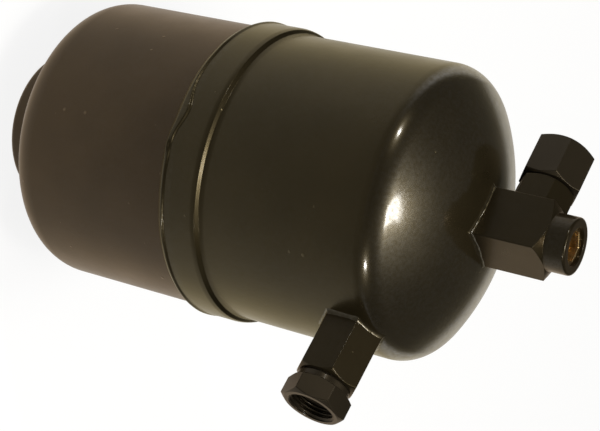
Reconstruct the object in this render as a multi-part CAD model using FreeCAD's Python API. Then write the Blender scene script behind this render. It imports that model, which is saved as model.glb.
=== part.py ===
"""Receiver drier: a welded steel canister with a square head block, a sight glass and two flare ports.

Millimetres, +Z up. The origin is the middle of the foot's flat underside, +Z runs up the canister's
axis to the head block, and +X is the way that the side port points. The head port points along -X.
"""
import FreeCAD
import Part
import math
import os

V = FreeCAD.Vector

# How far a cutting shape runs past what it cuts
PAST = 1.0

# Canister: two drawn steel cups, the upper one belled over the lower
BODY_R = 50.0
SHEET = 2.0
FLOOR_GAP = 9.9
LOWER_KNUCKLE_R = 12.4
LOWER_CROWN_R = 109.0
UPPER_CYL_Z = 157.5
UPPER_KNUCKLE_R = 10.9
UPPER_CROWN_R = 80.9
SKIRT_Z = 87.0
JOGGLE_Z = 100.0
JOGGLE_HALF = 2.3
JOGGLE_STEEP = 0.2
LAP_GAP = 0.8

# Weld bead round the skirt's edge
BEAD_BELOW = 1.9
BEAD_ABOVE = 3.0
BEAD_PROUD = 0.4
BEAD_CREST = 0.2

# Foot: a small drawn cup, closed end down
FOOT_R = 27.5
FOOT_CORNER_R = 2.5
FOOT_FILLET = 2.4
WELD_CLEAR = 0.1

# Bar stock and brazing
SQUARE_BAR = 19.05
PORT_HEX = 19.05
ARM_HEX = 17.46
BRAZE = 0.9
HEX_CHAMFER_DEG = 30.0
HEX_FACE_INSET = 0.3

# Head block: square bar stood on the dome, its end turned to a round boss
BLOCK_RISE = 22.35
BOSS_HEIGHT = 7.3
BOSS_R = 9.5
BOSS_RIM_R = 1.3
TURNED_DROP = 2.0
HEAD_PORT_RISE = 12.0
ARM_REACH = 9.1
SIDE_PORT_DROP = 5.0
SIDE_BAR_REACH = 18.9

# Refrigerant ways and the 3/8 inch tube
WAY_R = 4.0
TUBE_R = 4.765
TUBE_WALL = 0.81
TUBE_SOCKET = 6.0
FLARE_RISE = 1.35
RUN_FIT = 0.08
SEAT_GAP = 0.4

# Flare nuts: 5/8 inch fine thread, shown at its minor diameter; a nut's turn is a corner's, from +Z to +Y
NUT_HEX = 19.05
NUT_THREAD_R = 7.2
NUT_MOUTH_R = 7.9
NUT_FACE_R = 9.2
NUT_STANDOFF = 0.35
HEAD_NUT_LENGTH = 15.4
HEAD_NUT_TURN = -5.0
HEAD_NUT_LIP = 3.0
SIDE_NUT_LENGTH = 9.5
SIDE_NUT_TURN = 18.0
SIDE_NUT_LIP = 2.1
SIDE_COLLAR_R = 8.9
SIDE_COLLAR = 2.0

# Sight glass in the boss
PLUG_R = 6.35
PLUG_SUNK = 1.2
PLUG_LENGTH = 10.3
PLUG_KEY = 9.5
PLUG_KEY_DEPTH = 5.0
WINDOW_R = 3.2
LENS_R = 4.7
LENS_THICK = 2.8
LENS_SHELF = 1.3
WASHER = 0.8

# Filling: strainer, two perforated plates, felt, desiccant, spring
TUBE_IN_HEAD = 5.7
TUBE_LIFT = 4.1
STRAINER_R = 7.0
STRAINER_GAP = 1.0
STRAINER_WALL = 0.6
PLATE = 1.2
PLATE_PLAY = 0.3
SPRING_SPACE = 20.5
FELT = 4.0
PLATE_HOLE_R = 2.5
PLATE_HOLES = 12
PLATE_HOLE_RING = 30.0
SPRING_R = 24.0
SPRING_WIRE_R = 1.2
SPRING_TURNS = 4



def dome_depth(knuckle, crown):
    """Depth of a domed end from its cylinder to its apex, the crown tangent to the knuckle."""
    return crown - math.sqrt((crown - knuckle) ** 2 - (BODY_R - knuckle) ** 2)


INNER_R = BODY_R - SHEET
BELL_R = BODY_R + SHEET
LOWER_CYL_Z = FLOOR_GAP + dome_depth(LOWER_KNUCKLE_R, LOWER_CROWN_R)
UPPER_APEX = UPPER_CYL_Z + dome_depth(UPPER_KNUCKLE_R, UPPER_CROWN_R)
LOWER_CENTRE = FLOOR_GAP + LOWER_CROWN_R
UPPER_CENTRE = UPPER_APEX - UPPER_CROWN_R

BLOCK_R = SQUARE_BAR / 2
BOSS_Z = UPPER_APEX + BLOCK_RISE
HEAD_TOP = BOSS_Z + BOSS_HEIGHT
HEAD_PORT_Z = UPPER_APEX + HEAD_PORT_RISE
SIDE_PORT_Z = UPPER_CYL_Z - SIDE_PORT_DROP
ARM_END = BLOCK_R + ARM_REACH
SIDE_BAR_END = BODY_R + SIDE_BAR_REACH
HEAD_NUT_START = ARM_END + NUT_STANDOFF
SIDE_NUT_START = SIDE_BAR_END + NUT_STANDOFF

PLUG_TOP = HEAD_TOP - PLUG_SUNK
PLUG_FOOT = PLUG_TOP - PLUG_LENGTH
LENS_FOOT = PLUG_FOOT + LENS_SHELF
LENS_TOP = LENS_FOOT + LENS_THICK

# The lower plate rests on the inside of the lower knuckle
PLATE_R = INNER_R - PLATE_PLAY
KNUCKLE_IN = LOWER_KNUCKLE_R - SHEET
LOWER_PLATE_Z = LOWER_CYL_Z - math.sqrt(KNUCKLE_IN ** 2 - (KNUCKLE_IN - PLATE_PLAY) ** 2)
UPPER_PLATE_Z = UPPER_CYL_Z - SPRING_SPACE
TUBE_FOOT_Z = FLOOR_GAP + SHEET + TUBE_LIFT
TUBE_TOP_Z = UPPER_APEX + TUBE_IN_HEAD
STRAINER_TOP = LOWER_PLATE_Z - STRAINER_GAP


def crown_height(radius, inset, upper=True):
    """Height of a crown's surface at a radius, the sheet's outside moved in by inset."""
    if upper:
        return UPPER_CENTRE + math.sqrt((UPPER_CROWN_R - inset) ** 2 - radius ** 2)
    return LOWER_CENTRE - math.sqrt((LOWER_CROWN_R - inset) ** 2 - radius ** 2)


def line(a, b):
    """Straight edge between two (radius, height) points."""
    return Part.makeLine(V(a[0], 0, a[1]), V(b[0], 0, b[1]))


def arc(centre, radius, start, end):
    """Edge of a circle in the XZ plane, from one angle to another in degrees."""
    def at(angle):
        a = math.radians(angle)
        return V(centre[0] + radius * math.cos(a), 0, centre[1] + radius * math.sin(a))
    return Part.Arc(at(start), at((start + end) / 2), at(end)).toShape()


def joggle(r_low, r_high):
    """Smooth step of a cup's wall from the belled radius to the plain one."""
    z = JOGGLE_Z
    poles = [V(r_low, 0, z - JOGGLE_HALF), V(r_low, 0, z - JOGGLE_STEEP)]
    poles += [V(r_high, 0, z + JOGGLE_STEEP), V(r_high, 0, z + JOGGLE_HALF)]
    curve = Part.BezierCurve()
    curve.setPoles(poles)
    return curve.toShape()


def dome(inset, side):
    """Knuckle and crown edges from the cylinder to the axis, for the upper (1) or lower (-1) end."""
    z_cyl = UPPER_CYL_Z if side > 0 else LOWER_CYL_Z
    knuckle = UPPER_KNUCKLE_R if side > 0 else LOWER_KNUCKLE_R
    crown = UPPER_CROWN_R if side > 0 else LOWER_CROWN_R
    centre = UPPER_CENTRE if side > 0 else LOWER_CENTRE
    turn = math.degrees(math.acos((BODY_R - knuckle) / (crown - knuckle)))
    knuckle_edge = arc((BODY_R - knuckle, z_cyl), knuckle - inset, 0, side * turn)
    crown_edge = arc((0, centre), crown - inset, side * turn, side * 90)
    apex = (0, centre + side * (crown - inset))
    return [knuckle_edge, crown_edge], apex


def revolve(edges):
    """Solid of revolution about the Z axis from the edges of a closed outline."""
    wire = Part.Wire(Part.__sortEdges__(edges))
    return Part.Face(wire).revolve(V(0, 0, 0), V(0, 0, 1), 360)


def polygon_revolve(points):
    """Solid of revolution about Z from straight sides through (radius, height) points."""
    ends = points[1:] + points[:1]
    return revolve([line(a, b) for a, b in zip(points, ends)])


def envelope(grow):
    """The closed canister as one solid, its outside moved out by grow."""
    top, top_apex = dome(-grow, 1)
    bottom, bottom_apex = dome(-grow, -1)
    wall = line((BODY_R + grow, LOWER_CYL_Z), (BODY_R + grow, UPPER_CYL_Z))
    return revolve(top + bottom + [wall, line(bottom_apex, top_apex)])


def hexagon(across_flats, start, end, turn_deg):
    """Hexagonal bar along Z, a corner at turn_deg from +X."""
    radius = across_flats / math.sqrt(3)
    corners = []
    for k in range(6):
        a = math.radians(turn_deg + 60 * k)
        corners.append(V(radius * math.cos(a), radius * math.sin(a), start))
    face = Part.Face(Part.makePolygon(corners + corners[:1]))
    return face.extrude(V(0, 0, end - start))


def turned_ends(across_flats, start, end, face_r, both):
    """What the lathe leaves of a hexagonal bar: a cylinder coned down to face_r at its ends."""
    corner = across_flats / math.sqrt(3) + PAST
    drop = (corner - face_r) * math.tan(math.radians(HEX_CHAMFER_DEG))
    foot = [(0, start), (face_r, start), (corner, start + drop)] if both else [(0, start), (corner, start)]
    return polygon_revolve(foot + [(corner, end - drop), (face_r, end), (0, end)])


def cylinder(radius, start, end):
    """Cylinder along Z."""
    return Part.makeCylinder(radius, end - start, V(0, 0, start))


def port(shape, height, side):
    """Lay a shape made along Z out along +X (1) or -X (-1) at a height."""
    laid = shape.copy()
    laid.rotate(V(0, 0, 0), V(0, 1, 0), 90 * side)
    laid.translate(V(0, 0, height))
    return laid


def square(side, start, end):
    """Square bar along Z, centred on the axis."""
    return Part.makeBox(side, side, end - start, V(-side / 2, -side / 2, start))


def upper_shell():
    outer, outer_apex = dome(0, 1)
    inner, inner_apex = dome(SHEET, 1)
    edges = outer + inner
    edges.append(line(outer_apex, inner_apex))
    edges.append(line((BODY_R, UPPER_CYL_Z), (BODY_R, JOGGLE_Z + JOGGLE_HALF)))
    edges.append(line((INNER_R, UPPER_CYL_Z), (INNER_R, JOGGLE_Z + JOGGLE_HALF)))
    edges.append(joggle(BELL_R, BODY_R))
    edges.append(joggle(BODY_R, INNER_R))
    edges.append(line((BELL_R, JOGGLE_Z - JOGGLE_HALF), (BELL_R, SKIRT_Z)))
    edges.append(line((BODY_R, JOGGLE_Z - JOGGLE_HALF), (BODY_R, SKIRT_Z)))
    edges.append(line((BELL_R, SKIRT_Z), (BODY_R, SKIRT_Z)))
    shell = revolve(edges)
    shell = shell.cut(cylinder(TUBE_R, UPPER_CYL_Z, HEAD_TOP))
    return shell.cut(port(cylinder(WAY_R, 0, BODY_R + SHEET), SIDE_PORT_Z, 1))


def lower_shell():
    outer, outer_apex = dome(0, -1)
    inner, inner_apex = dome(SHEET, -1)
    top = JOGGLE_Z - JOGGLE_HALF - LAP_GAP
    edges = outer + inner
    edges.append(line(outer_apex, inner_apex))
    edges.append(line((BODY_R, LOWER_CYL_Z), (BODY_R, top)))
    edges.append(line((INNER_R, LOWER_CYL_Z), (INNER_R, top)))
    edges.append(line((BODY_R, top), (INNER_R, top)))
    return revolve(edges)


def girth_weld():
    low = V(BODY_R, 0, SKIRT_Z - BEAD_BELOW)
    high = V(BELL_R, 0, SKIRT_Z + BEAD_ABOVE)
    middle = V(BELL_R + BEAD_PROUD, 0, SKIRT_Z + BEAD_CREST)
    bulge = Part.Arc(low, middle, high).toShape()
    inside = [line((BELL_R, high.z), (BELL_R, SKIRT_Z)), line((BELL_R, SKIRT_Z), (BODY_R, SKIRT_Z))]
    return revolve([bulge] + inside + [line((BODY_R, SKIRT_Z), (BODY_R, low.z))])


def base_foot(body):
    c = FOOT_CORNER_R
    top = LOWER_CYL_Z
    inner_c = c - SHEET
    edges = [line((0, 0), (FOOT_R - c, 0))]
    edges.append(arc((FOOT_R - c, c), c, -90, 0))
    edges.append(line((FOOT_R, c), (FOOT_R, top)))
    edges.append(line((FOOT_R, top), (FOOT_R - SHEET, top)))
    edges.append(line((FOOT_R - SHEET, top), (FOOT_R - SHEET, c)))
    edges.append(arc((FOOT_R - c, c), inner_c, 0, -90))
    edges.append(line((FOOT_R - c, SHEET), (0, SHEET)))
    edges.append(line((0, SHEET), (0, 0)))
    return revolve(edges).cut(body)


def foot_weld():
    """Fillet weld in the corner between the foot's wall and the dome."""
    def seat(radius):
        return (radius, crown_height(radius, -WELD_CLEAR, False))
    corner, middle, toe = (seat(FOOT_R + FOOT_FILLET * share) for share in (0, 0.5, 1))
    root = (FOOT_R, corner[1] - FOOT_FILLET)
    dome_side = Part.Arc(*(V(r, 0, z) for r, z in (corner, middle, toe))).toShape()
    return revolve([dome_side, line(toe, root), line(root, corner)])


def head_block(body):
    corner = SQUARE_BAR / math.sqrt(2) + PAST
    slope = TURNED_DROP / (SQUARE_BAR / math.sqrt(2) - BOSS_R)
    cone_foot = BOSS_Z - slope * (corner - BOSS_R)
    rim = BOSS_RIM_R
    edges = [line((0, UPPER_CYL_Z), (corner, UPPER_CYL_Z))]
    edges.append(line((corner, UPPER_CYL_Z), (corner, cone_foot)))
    edges.append(line((corner, cone_foot), (BOSS_R, BOSS_Z)))
    edges.append(line((BOSS_R, BOSS_Z), (BOSS_R, HEAD_TOP - rim)))
    edges.append(arc((BOSS_R - rim, HEAD_TOP - rim), rim, 0, 90))
    edges.append(line((BOSS_R - rim, HEAD_TOP), (0, HEAD_TOP)))
    edges.append(line((0, HEAD_TOP), (0, UPPER_CYL_Z)))
    block = revolve(edges).common(square(SQUARE_BAR, UPPER_CYL_Z, HEAD_TOP))
    block = block.cut(body)
    block = block.cut(cylinder(PLUG_R, PLUG_FOOT - WASHER, HEAD_TOP))
    block = block.cut(cylinder(WINDOW_R, UPPER_CYL_Z, HEAD_TOP))
    block = block.cut(cylinder(TUBE_R, UPPER_CYL_Z, TUBE_TOP_Z))
    return block.cut(port(cylinder(WAY_R, 0, SQUARE_BAR), HEAD_PORT_Z, -1))


def head_braze(body):
    """Thin fillet of braze round the foot of the square bar."""
    band = envelope(BRAZE).cut(body)
    ring = band.common(square(SQUARE_BAR + 2 * BRAZE, UPPER_CYL_Z, HEAD_TOP))
    return ring.cut(square(SQUARE_BAR, UPPER_CYL_Z, HEAD_TOP))


def side_braze(body):
    """Thin fillet of braze round the foot of the side port's bar."""
    band = envelope(BRAZE).cut(body)
    outer = port(hexagon(PORT_HEX + 2 * BRAZE, INNER_R / 2, SIDE_BAR_END, 0), SIDE_PORT_Z, 1)
    inner = port(hexagon(PORT_HEX, INNER_R / 2, SIDE_BAR_END, 0), SIDE_PORT_Z, 1)
    return band.common(outer).cut(inner)


def head_port_body():
    bar = hexagon(ARM_HEX, BLOCK_R, ARM_END, 0)
    bar = bar.common(turned_ends(ARM_HEX, BLOCK_R, ARM_END, ARM_HEX / 2 - HEX_FACE_INSET, False))
    bar = bar.cut(cylinder(WAY_R, BLOCK_R, ARM_END))
    bar = bar.cut(cylinder(TUBE_R, ARM_END - TUBE_SOCKET, ARM_END))
    return port(bar, HEAD_PORT_Z, -1)


def side_port_body(body):
    start = INNER_R / 2
    bar = hexagon(PORT_HEX, start, SIDE_BAR_END, 0)
    bar = bar.common(turned_ends(PORT_HEX, start, SIDE_BAR_END, PORT_HEX / 2 - HEX_FACE_INSET, False))
    bar = bar.cut(cylinder(WAY_R, start, SIDE_BAR_END))
    bar = bar.cut(cylinder(TUBE_R, SIDE_BAR_END - TUBE_SOCKET, SIDE_BAR_END))
    return port(bar, SIDE_PORT_Z, 1).cut(body)


def flare_tube(root, neck):
    """Tube stub along Z from root, its wall opened at 45 degrees beyond neck."""
    half = TUBE_WALL / math.sqrt(2)
    tip_r = TUBE_R + FLARE_RISE
    bore = TUBE_R - TUBE_WALL
    outside = [(TUBE_R, root), (TUBE_R, neck), (tip_r, neck + FLARE_RISE)]
    inside = [(tip_r - half, neck + FLARE_RISE + half), (bore, neck + 2 * half - TUBE_WALL), (bore, root)]
    return polygon_revolve(outside + inside)


def flare_nut(start, collar, length, lip, turn):
    """Swivel nut along Z: a collar, a lip behind the flare, a 45 degree seat and a clear threaded bore."""
    end = start + length
    nut = hexagon(NUT_HEX, start + collar, end, turn)
    nut = nut.common(turned_ends(NUT_HEX, start + collar, end, NUT_FACE_R, True))
    if collar > 0:
        nut = nut.fuse(cylinder(SIDE_COLLAR_R, start, start + collar))
    hole_r = TUBE_R + RUN_FIT
    seat = start + lip
    seat_end = seat + NUT_THREAD_R - hole_r
    mouth = end - (NUT_MOUTH_R - NUT_THREAD_R)
    points = [(0, start - PAST), (hole_r, start - PAST), (hole_r, seat), (NUT_THREAD_R, seat_end)]
    points += [(NUT_THREAD_R, mouth), (NUT_MOUTH_R + PAST, end + PAST), (0, end + PAST)]
    return nut.cut(polygon_revolve(points)).removeSplitter()


def sight_glass_body():
    body = cylinder(PLUG_R, PLUG_FOOT, PLUG_TOP)
    body = body.cut(hexagon(PLUG_KEY, PLUG_TOP - PLUG_KEY_DEPTH, PLUG_TOP, 0))
    body = body.cut(cylinder(WINDOW_R, PLUG_FOOT, PLUG_TOP))
    return body.cut(cylinder(LENS_R, PLUG_FOOT, LENS_TOP))


def sight_glass_lens():
    return cylinder(LENS_R, LENS_FOOT, LENS_TOP)


def sight_glass_retainer():
    return cylinder(LENS_R, PLUG_FOOT, LENS_FOOT).cut(cylinder(WINDOW_R, PLUG_FOOT, LENS_FOOT))


def sight_glass_washer():
    foot = PLUG_FOOT - WASHER
    return cylinder(PLUG_R, foot, PLUG_FOOT).cut(cylinder(WINDOW_R, foot, PLUG_FOOT))


def pickup_tube():
    tube = cylinder(TUBE_R, TUBE_FOOT_Z, TUBE_TOP_Z)
    return tube.cut(cylinder(TUBE_R - TUBE_WALL, TUBE_FOOT_Z, TUBE_TOP_Z))


def pickup_strainer():
    floor = crown_height(STRAINER_R, SHEET, False)
    cup = cylinder(STRAINER_R, floor, STRAINER_TOP)
    cup = cup.cut(cylinder(STRAINER_R - STRAINER_WALL, floor + STRAINER_WALL, STRAINER_TOP - STRAINER_WALL))
    return cup.cut(cylinder(TUBE_R, TUBE_FOOT_Z, STRAINER_TOP))


def disc(start, thickness):
    """Disc across the canister with the pickup tube's hole."""
    plate = cylinder(PLATE_R, start, start + thickness)
    return plate.cut(cylinder(TUBE_R, start, start + thickness))


def perforated_plate(start):
    plate = disc(start, PLATE)
    for ring, count in ((PLATE_HOLE_RING, PLATE_HOLES), (PLATE_HOLE_RING / 2, PLATE_HOLES // 2)):
        for k in range(count):
            a = math.radians(360.0 * k / count)
            centre = V(ring * math.cos(a), ring * math.sin(a), start)
            plate = plate.cut(Part.makeCylinder(PLATE_HOLE_R, PLATE, centre))
    return plate


def bed_spring():
    """Round wire spring between the upper plate and the dome, each half turn a tilted half ring."""
    foot = UPPER_PLATE_Z + PLATE + SPRING_WIRE_R
    top = crown_height(SPRING_R + SPRING_WIRE_R, SHEET) - SPRING_WIRE_R
    climb = (top - foot) / (2 * SPRING_TURNS)
    spring = None
    for k in range(2 * SPRING_TURNS):
        side = 1 if k % 2 == 0 else -1
        start = V(side * SPRING_R, 0, foot + k * climb)
        middle = V(0, 0, start.z + climb / 2)
        wire = Part.Face(Part.Wire(Part.makeCircle(SPRING_WIRE_R, start, V(0, 1, 0))))
        half = wire.revolve(middle, (start - middle).cross(V(0, side, 0)), 180)
        spring = half if spring is None else spring.fuse(half)
    return spring.removeSplitter()


def build():
    body = envelope(0)
    parts = {}
    parts["upper_shell"] = upper_shell()
    parts["lower_shell"] = lower_shell()
    parts["girth_weld"] = girth_weld()
    parts["base_foot"] = base_foot(body)
    parts["foot_weld"] = foot_weld()
    parts["head_block"] = head_block(body)
    parts["head_braze"] = head_braze(body)
    parts["head_port_body"] = head_port_body()
    parts["side_port_body"] = side_port_body(body)
    parts["side_braze"] = side_braze(body)
    head_neck = HEAD_NUT_START + HEAD_NUT_LIP + SEAT_GAP
    side_neck = SIDE_NUT_START + SIDE_NUT_LIP + SEAT_GAP
    parts["head_flare_tube"] = port(flare_tube(ARM_END - TUBE_SOCKET, head_neck), HEAD_PORT_Z, -1)
    parts["side_flare_tube"] = port(flare_tube(SIDE_BAR_END - TUBE_SOCKET, side_neck), SIDE_PORT_Z, 1)
    head_nut = flare_nut(HEAD_NUT_START, 0, HEAD_NUT_LENGTH, HEAD_NUT_LIP, HEAD_NUT_TURN)
    side_nut = flare_nut(SIDE_NUT_START, SIDE_COLLAR, SIDE_NUT_LENGTH, SIDE_NUT_LIP, -SIDE_NUT_TURN)
    parts["head_swivel_nut"] = port(head_nut, HEAD_PORT_Z, -1)
    parts["side_swivel_nut"] = port(side_nut, SIDE_PORT_Z, 1)
    parts["sight_glass_body"] = sight_glass_body()
    parts["sight_glass_lens"] = sight_glass_lens()
    parts["sight_glass_retainer"] = sight_glass_retainer()
    parts["sight_glass_washer"] = sight_glass_washer()
    parts["pickup_tube"] = pickup_tube()
    parts["pickup_strainer"] = pickup_strainer()
    parts["lower_plate"] = perforated_plate(LOWER_PLATE_Z)
    parts["lower_felt"] = disc(LOWER_PLATE_Z + PLATE, FELT)
    parts["desiccant_bed"] = disc(LOWER_PLATE_Z + PLATE + FELT, UPPER_PLATE_Z - LOWER_PLATE_Z - PLATE - 2 * FELT)
    parts["upper_felt"] = disc(UPPER_PLATE_Z - FELT, FELT)
    parts["upper_plate"] = perforated_plate(UPPER_PLATE_Z)
    parts["bed_spring"] = bed_spring()
    return parts


os.makedirs("parts", exist_ok=True)
for name, shape in build().items():
    shape.exportStep("parts/" + name + ".step")
    print(name, len(shape.Solids), shape.isValid(), round(shape.Volume), shape.BoundBox)
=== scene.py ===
import math
import bpy
import numpy as np
from mathutils import Matrix
from types import SimpleNamespace


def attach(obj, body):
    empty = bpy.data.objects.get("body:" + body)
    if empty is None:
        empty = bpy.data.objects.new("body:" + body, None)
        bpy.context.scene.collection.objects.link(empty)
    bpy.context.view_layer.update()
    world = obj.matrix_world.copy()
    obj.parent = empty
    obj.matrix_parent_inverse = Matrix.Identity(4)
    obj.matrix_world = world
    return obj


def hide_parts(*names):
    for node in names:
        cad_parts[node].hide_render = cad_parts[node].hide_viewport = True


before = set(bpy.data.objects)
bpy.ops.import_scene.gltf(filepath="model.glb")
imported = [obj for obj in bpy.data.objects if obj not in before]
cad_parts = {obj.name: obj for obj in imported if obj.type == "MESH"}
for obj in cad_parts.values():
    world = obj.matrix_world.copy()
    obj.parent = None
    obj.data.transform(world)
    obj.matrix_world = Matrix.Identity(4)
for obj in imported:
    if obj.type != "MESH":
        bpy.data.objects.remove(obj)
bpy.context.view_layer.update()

bl_info = {
    "name": "Receiver Drier",
    "version": (1, 0, 0),
    "blender": (4, 5, 0),
    "location": "View3D > Sidebar > Drier",
    "description": "Builds the painted shells, welds, fittings and sight glass of a receiver drier",
    "category": "Object",
}

# Faces round the plain rings, the weld beads, whose ripples need more, the tubes and the lens
RING_COLUMNS = 288
BEAD_COLUMNS = 1440
FOOT_BEAD_COLUMNS = 480
TUBE_COLUMNS = 96
LENS_COLUMNS = 72

# A full turn in radians
TURN = 2 * math.pi

# Edges that turn by more than this many degrees are shaded as edges
SHARP_FROM = 38

# Share of the paint's broad gloss that is tinted as a metal's is, up to the edges
BRONZE_CAST = 0.6

# Dust nibs: smallest and largest radius as a share of their spacing, and their rise as a multiple of the
# depth that painted() is given
NIB_RADII = (0.03, 0.085)
NIB_RISE = 12.0

# Lamps: azimuth and elevation in degrees, distance and sides in metres, watts
KEY_LIGHT = (-40, 77)
LAMPS = {
    "key_lamp": (*KEY_LIGHT, 1.1, (0.2, 0.42), 6.2),
    "left_lamp": (-112, 20, 1.3, (0.06, 0.1), 2.8),
    "right_lamp": (-11, 17, 1.3, (0.06, 0.1), 2.8),
}
LAMP_TINT = (1.0, 0.985, 0.94)
LAMPS_LOOK_AT = (0, 0, 0.13)

# The glow round the key light: its angle in radians, strength and tint
GLOW_SPREAD = 0.16
GLOW_STRENGTH = 7.5
GLOW_TINT = (1.0, 0.96, 0.84)

# The floor: its half side in metres, its grey, how pale it looks near the canister and far in front of it,
# where its glow fades into a painted shade, and the distances in front of the axis, in metres, between which
# that changes
FLOOR_SIDE = 4.0
FLOOR_GREY = 0.16
FLOOR_NEAR = 0.86
FLOOR_FAR = 0.24
FLOOR_PAINTED_SHADE_SPAN = (0.1, 0.34)

# The surroundings: their light on the object, how pale they look at the horizon behind and in front and
# high up, where the horizon changes (cosines from the camera's side) and where it ends (sine of elevation)
ROOM_LEVEL = 0.15
WALL_BEHIND = 1.0
WALL_AHEAD = 0.2
WALL_HIGH = 0.07
WALL_FADE = (-0.3, 0.5)
WALL_END = 0.16

# The camera: the azimuth it stands at in degrees, its lens and sensor in millimetres, and its right, up and
# back directions and place in metres
CAMERA_SIDE = -59.2
CAMERA_LENS = 99.43
CAMERA_SENSOR = 36.0
CAMERA_RIGHT = (-0.44231, 0.29619, 0.84654)
CAMERA_UP = (-0.78760, -0.57977, -0.20866)
CAMERA_BACK = (0.42899, -0.75902, 0.48973)
CAMERA_PLACE = (0.25386, -0.42653, 0.38936)


def length(name, default, description):
    """A size in metres, as a property."""
    return bpy.props.FloatProperty(
        name=name,
        description=description,
        default=default,
        precision=5,
        step=0.01,
        unit="LENGTH",
        subtype="DISTANCE",
    )


def angle(name, degrees, description):
    """An angle, kept in radians, as a property."""
    return bpy.props.FloatProperty(
        name=name, description=description, default=math.radians(degrees), unit="ROTATION", subtype="ANGLE"
    )


def colour(name, default, description):
    """A colour, as a property."""
    return bpy.props.FloatVectorProperty(
        name=name, description=description, default=default, size=3, min=0.0, max=1.0, subtype="COLOR"
    )


def share(name, default, description):
    """A share from 0 to 1, as a property."""
    return bpy.props.FloatProperty(
        name=name, description=description, default=default, min=0.0, max=1.0, subtype="FACTOR"
    )


class DrierCanister(bpy.types.PropertyGroup):
    """Sizes of the two drawn cups, the foot and the weld beads."""
    body_radius: length("Body radius", 0.05, "Outside radius of both cups")
    sheet: length("Sheet", 0.002, "Thickness of the drawn steel")
    floor_gap: length("Floor gap", 0.0099, "Height of the lower dome over the floor")
    lower_knuckle: length("Lower knuckle", 0.0124, "Radius of the lower cup's rounded shoulder")
    lower_crown: length("Lower crown", 0.109, "Radius of the lower cup's dome")
    upper_wall: length("Upper wall height", 0.1575, "Height at which the upper cup's wall ends")
    upper_knuckle: length("Upper knuckle", 0.0109, "Radius of the upper cup's rounded shoulder")
    upper_crown: length("Upper crown", 0.0809, "Radius of the upper cup's dome")
    skirt: length("Skirt height", 0.087, "Height of the upper cup's lower edge")
    joggle: length("Joggle height", 0.1, "Height of the step where the upper cup is belled out")
    joggle_half: length("Joggle half", 0.0023, "Half of the step's height")
    joggle_steep: length("Joggle steepness", 0.0005, "Half height of the step's steep middle")
    lap_gap: length("Lap gap", 0.0008, "Room between the lower cup's rim and the step")
    foot_radius: length("Foot radius", 0.0275, "Outside radius of the foot cup")
    foot_corner: length("Foot corner", 0.0025, "Radius of the foot's lower corner")
    foot_fillet: length("Foot fillet", 0.0024, "Leg of the weld between the foot and the dome")
    bead_below: length("Bead below", 0.0019, "How far the girth bead reaches under the skirt's edge")
    bead_above: length("Bead above", 0.003, "How far the girth bead reaches over the skirt's edge")
    bead_proud: length("Bead height", 0.0005, "How far the girth bead's crest stands out of the belled wall")
    ripple: length("Ripple", 0.000005, "Height of the weld's ripples")
    ripple_pitch: length("Ripple pitch", 0.0015, "Distance between the weld's ripples")
    stop_angle: angle("Weld stop", -68.8, "Direction in which the girth weld closes on itself")


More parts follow.
